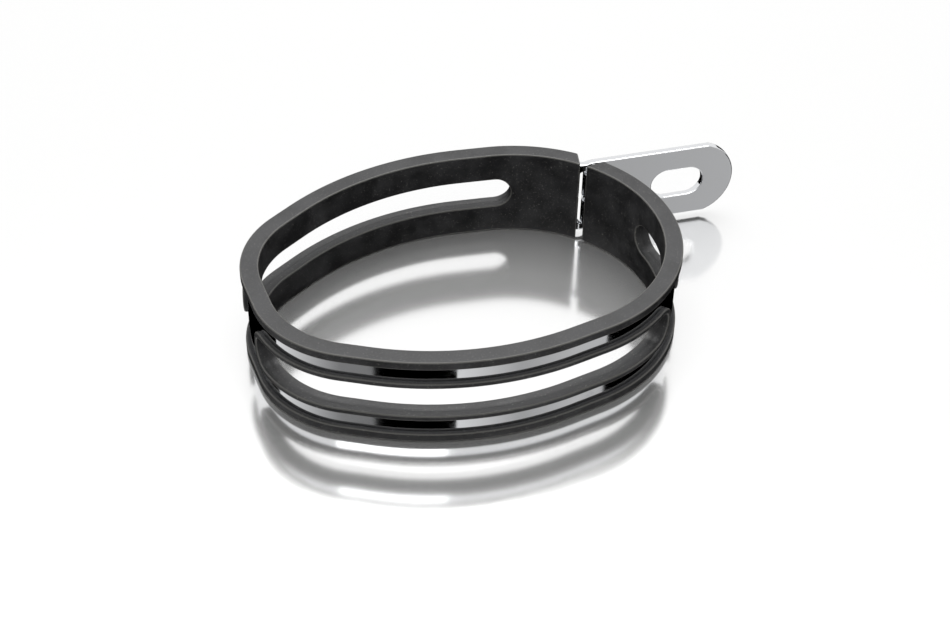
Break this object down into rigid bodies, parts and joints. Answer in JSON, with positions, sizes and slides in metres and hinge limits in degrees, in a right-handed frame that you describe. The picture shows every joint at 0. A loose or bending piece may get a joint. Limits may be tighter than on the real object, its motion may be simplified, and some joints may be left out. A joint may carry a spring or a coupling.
{
  "type": "silencer band clamp",
  "caption": "Rubber-lined stainless band clamp of tri-oval outline with long round-ended openings and one slotted mounting ear.",
  "frame": {"origin": "centre of the silencer seat, on the plane of the lower rim", "axes": "+X along the mounting ear towards its free end, +Z along the silencer, from the lower rim to the upper rim"},
  "size_m": [0.1719, 0.1044, 0.03],
  "materials": {
    "polished_steel": "mirror-polished stainless steel",
    "black_rubber": "satin moulded rubber"
  },
  "bodies": {
    "rear_half": {"strap_rear_with_ear": "polished_steel", "liner_rear": "black_rubber"},
    "front_half": {"strap_front_with_tongues": "polished_steel", "liner_front": "black_rubber"}
  },
  "joints": [
    {"name": "ring_opening", "type": "hinge", "parent": "rear_half", "child": "front_half", "pos_m": [-0.06778, -0.00108, 0.015], "axis": [0, 0, -1], "range_deg": [0, 12], "stiffness_Nm_per_rad": 25}
  ]
}
